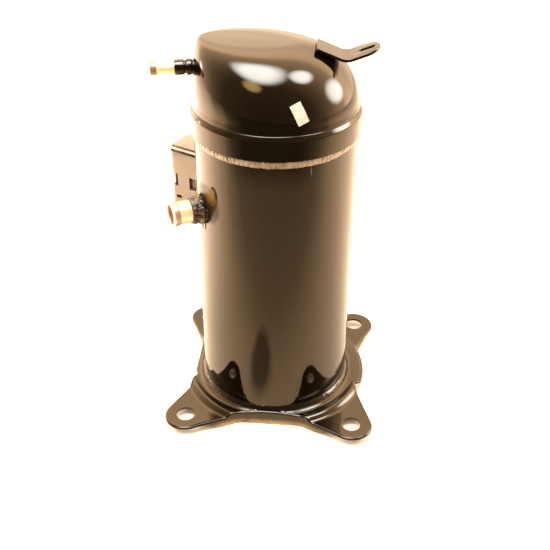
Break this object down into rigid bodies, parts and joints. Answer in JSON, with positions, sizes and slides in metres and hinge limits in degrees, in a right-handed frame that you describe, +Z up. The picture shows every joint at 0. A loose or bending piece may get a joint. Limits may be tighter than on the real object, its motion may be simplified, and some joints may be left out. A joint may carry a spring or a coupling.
{
  "type": "scroll compressor",
  "caption": "Hermetic scroll compressor: black welded steel shell on a four-foot base plate, offset domed cap, copper suction and discharge stubs, terminal box and scroll drive inside.",
  "frame": {"origin": "on the shell's axis, at the level of the floor under the base plate's turned-down edge", "axes": "+Z up along the shell and crankshaft, +X towards the lifting bracket and along the crank throw at rest, +Y to the back; the feet lie on the diagonals"},
  "size_m": [0.2432, 0.2384, 0.428],
  "materials": {
    "black_paint": "glossy black enamel",
    "copper": "drawn copper, lightly tarnished",
    "steel": "machined",
    "iron": "machined grey iron",
    "aluminium": "die cast",
    "bronze": "turned",
    "enamelled_wire": "varnished copper wire",
    "lamination": "stacked electrical steel",
    "black_plastic": "moulded",
    "sealing_glass": "fused glass",
    "weld": "scorched weld bead"
  },
  "bodies": {
    "housing": {"base_plate": "black_paint", "bottom_cap": "black_paint", "shell_tube": "black_paint", "girth_weld": "weld", "top_cap": "black_paint", "suction_spud": "black_paint", "suction_stub": "copper", "discharge_spud": "black_paint", "discharge_stub": "copper", "lifting_bracket": "black_paint", "terminal_fence": "black_paint", "terminal_body": "steel", "terminal_bead_1": "sealing_glass", "terminal_bead_2": "sealing_glass", "terminal_bead_3": "sealing_glass", "terminal_pin_1": "steel", "terminal_pin_2": "steel", "terminal_pin_3": "steel", "stator_core": "lamination", "winding_top": "enamelled_wire", "winding_bottom": "enamelled_wire", "motor_protector": "black_plastic", "lower_bearing_bracket": "iron", "lower_bearing_bush": "bronze", "thrust_plate": "steel", "main_bearing_housing": "iron", "main_bearing_bush": "bronze", "scroll_bolt_1": "steel", "scroll_bolt_2": "steel", "scroll_bolt_3": "steel", "scroll_bolt_4": "steel", "separator_plate": "steel", "relief_valve_body": "bronze", "relief_spring_seat": "steel", "relief_spring": "steel", "inner_plug": "black_plastic", "motor_lead_1": "enamelled_wire", "motor_lead_2": "enamelled_wire", "motor_lead_3": "enamelled_wire", "suction_baffle": "steel", "sump_magnet": "iron"},
    "cover": {"terminal_cover": "black_paint", "cover_screw": "steel"},
    "crank": {"crankshaft": "steel", "oil_pickup": "steel", "drive_bushing": "steel", "rotor_core": "lamination", "rotor_end_ring_top": "aluminium", "rotor_end_ring_bottom": "aluminium", "counterweight_top": "bronze", "counterweight_bottom": "bronze"},
    "orbiting": {"orbiting_scroll": "iron", "orbiting_bearing_bush": "bronze"},
    "plug": {"gallery_plug": "steel"},
    "oldham": {"oldham_ring": "aluminium"},
    "fixed": {"fixed_scroll": "iron", "valve_retainer": "steel"},
    "valve": {"discharge_valve_disc": "steel"},
    "seal": {"floating_seal": "iron"},
    "plunger": {"relief_plunger": "steel"}
  },
  "joints": [
    {"name": "crank_spin", "type": "hinge", "parent": "housing", "child": "crank", "pos_m": [0, 0, 0.17], "axis": [0, 0, 1], "continuous": true},
    {"name": "scroll_orbit", "type": "hinge", "parent": "crank", "child": "orbiting", "pos_m": [0.00415, 0, 0.29], "axis": [0, 0, 1], "continuous": true},
    {"name": "oldham_guide", "type": "hinge", "parent": "crank", "child": "plug", "pos_m": [0.00208, 0, 0.29], "axis": [0, 0, 1], "continuous": true},
    {"name": "oldham_stroke", "type": "hinge", "parent": "plug", "child": "oldham", "pos_m": [0.00415, 0, 0.29], "axis": [0, 0, 1], "continuous": true},
    {"name": "fixed_scroll_lift", "type": "slide", "parent": "housing", "child": "fixed", "axis": [0, 0, 1], "range_m": [0, 0.0006]},
    {"name": "discharge_valve_lift", "type": "slide", "parent": "fixed", "child": "valve", "axis": [0, 0, 1], "range_m": [0, 0.0016]},
    {"name": "floating_seal_lift", "type": "slide", "parent": "fixed", "child": "seal", "axis": [0, 0, 1], "range_m": [0, 0.001]},
    {"name": "relief_valve_travel", "type": "slide", "parent": "housing", "child": "plunger", "axis": [0, 0, -1], "range_m": [0, 0.002], "stiffness_N_per_m": 400, "springref_m": -0.003, "deforming": ["relief_spring"]},
    {"name": "terminal_cover_hinge", "type": "hinge", "parent": "housing", "child": "cover", "pos_m": [-0.07841, 0.03995, 0.2037], "axis": [-0.454, -0.891, 0], "range_deg": [0, 85]}
  ],
  "couplings": [
    {"joint": "scroll_orbit", "follows": "crank_spin", "ratio": -1},
    {"joint": "oldham_guide", "follows": "crank_spin", "ratio": -2},
    {"joint": "oldham_stroke", "follows": "crank_spin", "ratio": 1}
  ]
}
